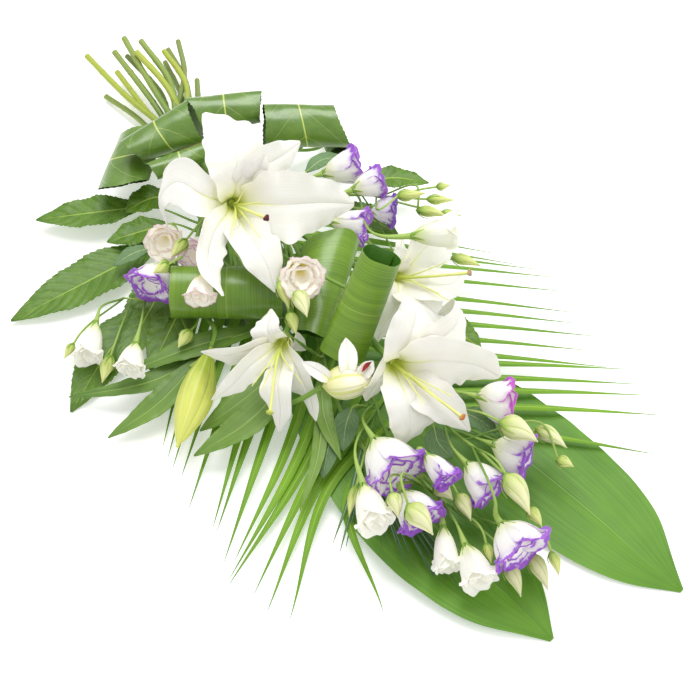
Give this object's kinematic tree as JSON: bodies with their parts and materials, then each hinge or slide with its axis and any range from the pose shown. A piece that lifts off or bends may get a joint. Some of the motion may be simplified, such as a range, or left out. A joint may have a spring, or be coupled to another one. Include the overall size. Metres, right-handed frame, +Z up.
{
  "type": "tied flower sheaf",
  "caption": "Long tied sheaf of white lilies and purple-rimmed lisianthus over broad leaves, rolled leaves, a palm frond and grass, laid down flat.",
  "frame": {"origin": "middle of the sheaf's length and width, on the table that it lies on", "axes": "+X from the cut stems to the tips of the long leaves, +Z up from the table"},
  "size_m": [0.8814, 0.4791, 0.1738],
  "materials": {
    "petal_white": "soft white petal, some rims purple",
    "filament_green": "pale yellow-green filament, dark stigma",
    "bud_green": "smooth yellow-green bud",
    "spray_green": "pale grey-green stems and buds",
    "stem_green": "cut green stems",
    "leaf_green": "satin mid green leaf",
    "dark_green": "glossy dark green leaf",
    "mid_green": "satin green leaf with fine ribs",
    "palm_green": "satin green leaflet",
    "twine": "rough natural twine"
  },
  "bodies": {
    "root": {"lily_1": "petal_white", "lily_2": "petal_white", "lily_3": "petal_white", "lily_4": "petal_white", "half_open_lily": "petal_white", "bloom_front_1": "petal_white", "bloom_front_2": "petal_white", "bloom_front_3": "petal_white", "bloom_front_4": "petal_white", "bloom_front_5": "petal_white", "bloom_front_6": "petal_white", "bloom_front_7": "petal_white", "bloom_front_8": "petal_white", "bloom_front_9": "petal_white", "bloom_front_10": "petal_white", "bloom_right_1": "petal_white", "bloom_right_2": "petal_white", "bloom_right_3": "petal_white", "bloom_right_4": "petal_white", "bloom_right_5": "petal_white", "bloom_left_1": "petal_white", "bloom_left_2": "petal_white", "bloom_left_3": "petal_white", "bloom_left_4": "petal_white", "bloom_left_5": "petal_white", "bloom_left_6": "petal_white", "bloom_centre": "petal_white", "lily_1_stamens": "filament_green", "lily_2_stamens": "filament_green", "lily_3_stamens": "filament_green", "lily_4_stamens": "filament_green", "lily_bud": "bud_green", "spray_front_left": "spray_green", "spray_front_right": "spray_green", "spray_right": "spray_green", "spray_left": "spray_green", "spray_left_low": "spray_green", "spray_centre": "spray_green", "stem_bunch": "stem_green", "lily_leaves_left": "leaf_green", "lily_leaves_front": "leaf_green", "lily_leaves_centre": "leaf_green", "saw_leaves_left": "leaf_green", "saw_leaves_right": "leaf_green", "fatsia_roll_1": "dark_green", "fatsia_roll_2": "dark_green", "fatsia_roll_3": "dark_green", "fatsia_roll_4": "dark_green", "fatsia_roll_5": "dark_green", "fatsia_roll_6": "dark_green", "aspidistra_loop_1": "mid_green", "aspidistra_loop_2": "mid_green", "aspidistra_loop_3": "mid_green", "aspidistra_leaf_1": "mid_green", "aspidistra_leaf_2": "mid_green", "palm_frond": "palm_green", "lily_grass": "palm_green", "binding_band": "twine"}
  },
  "joints": []
}
